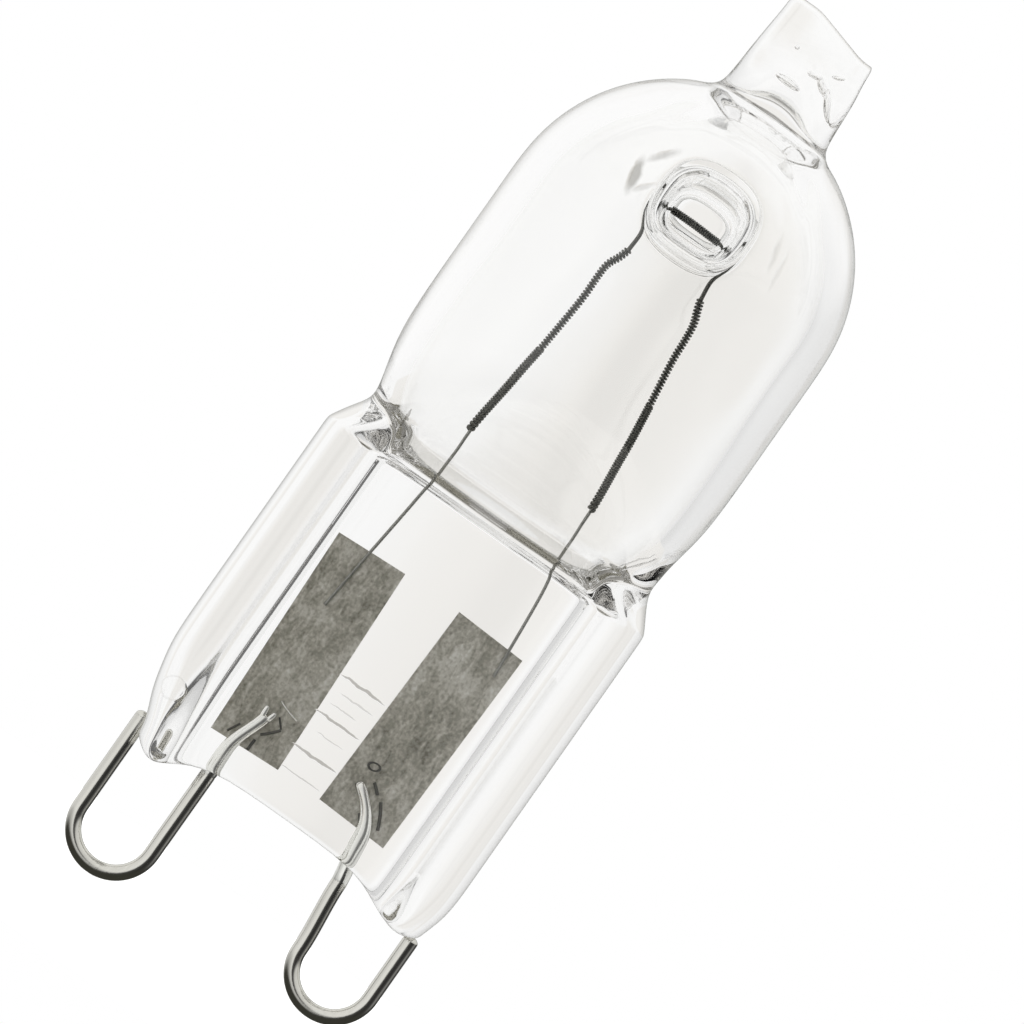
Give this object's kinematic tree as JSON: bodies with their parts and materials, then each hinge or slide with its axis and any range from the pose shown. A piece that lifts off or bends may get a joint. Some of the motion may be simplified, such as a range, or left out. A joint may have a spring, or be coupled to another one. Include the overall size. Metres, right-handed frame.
{
  "type": "halogen capsule bulb",
  "caption": "Clear quartz capsule lamp with two wire loop pins, sealing foils and a hanging filament that is held in a dimple near the tip.",
  "frame": {"origin": "middle of the seal's straight lower edge, between the two wire loops", "axes": "+Z along the tube towards the sealed tip, X across the wide side of the seal through both loops, -Y towards the front"},
  "size_m": [0.0132, 0.0126, 0.0387],
  "materials": {
    "quartz": "clear, fire polished",
    "tungsten": "dull, finely coiled",
    "lead_wire": "dull drawn wire",
    "sealing_foil": "dull, crinkled",
    "pin_wire": "bright drawn wire"
  },
  "bodies": {
    "root": {"envelope": "quartz", "filament": "tungsten", "sleeve_left": "tungsten", "sleeve_right": "tungsten", "lead_left": "lead_wire", "lead_right": "lead_wire", "foil_left": "sealing_foil", "foil_right": "sealing_foil", "pin_left": "pin_wire", "pin_right": "pin_wire"}
  },
  "joints": []
}
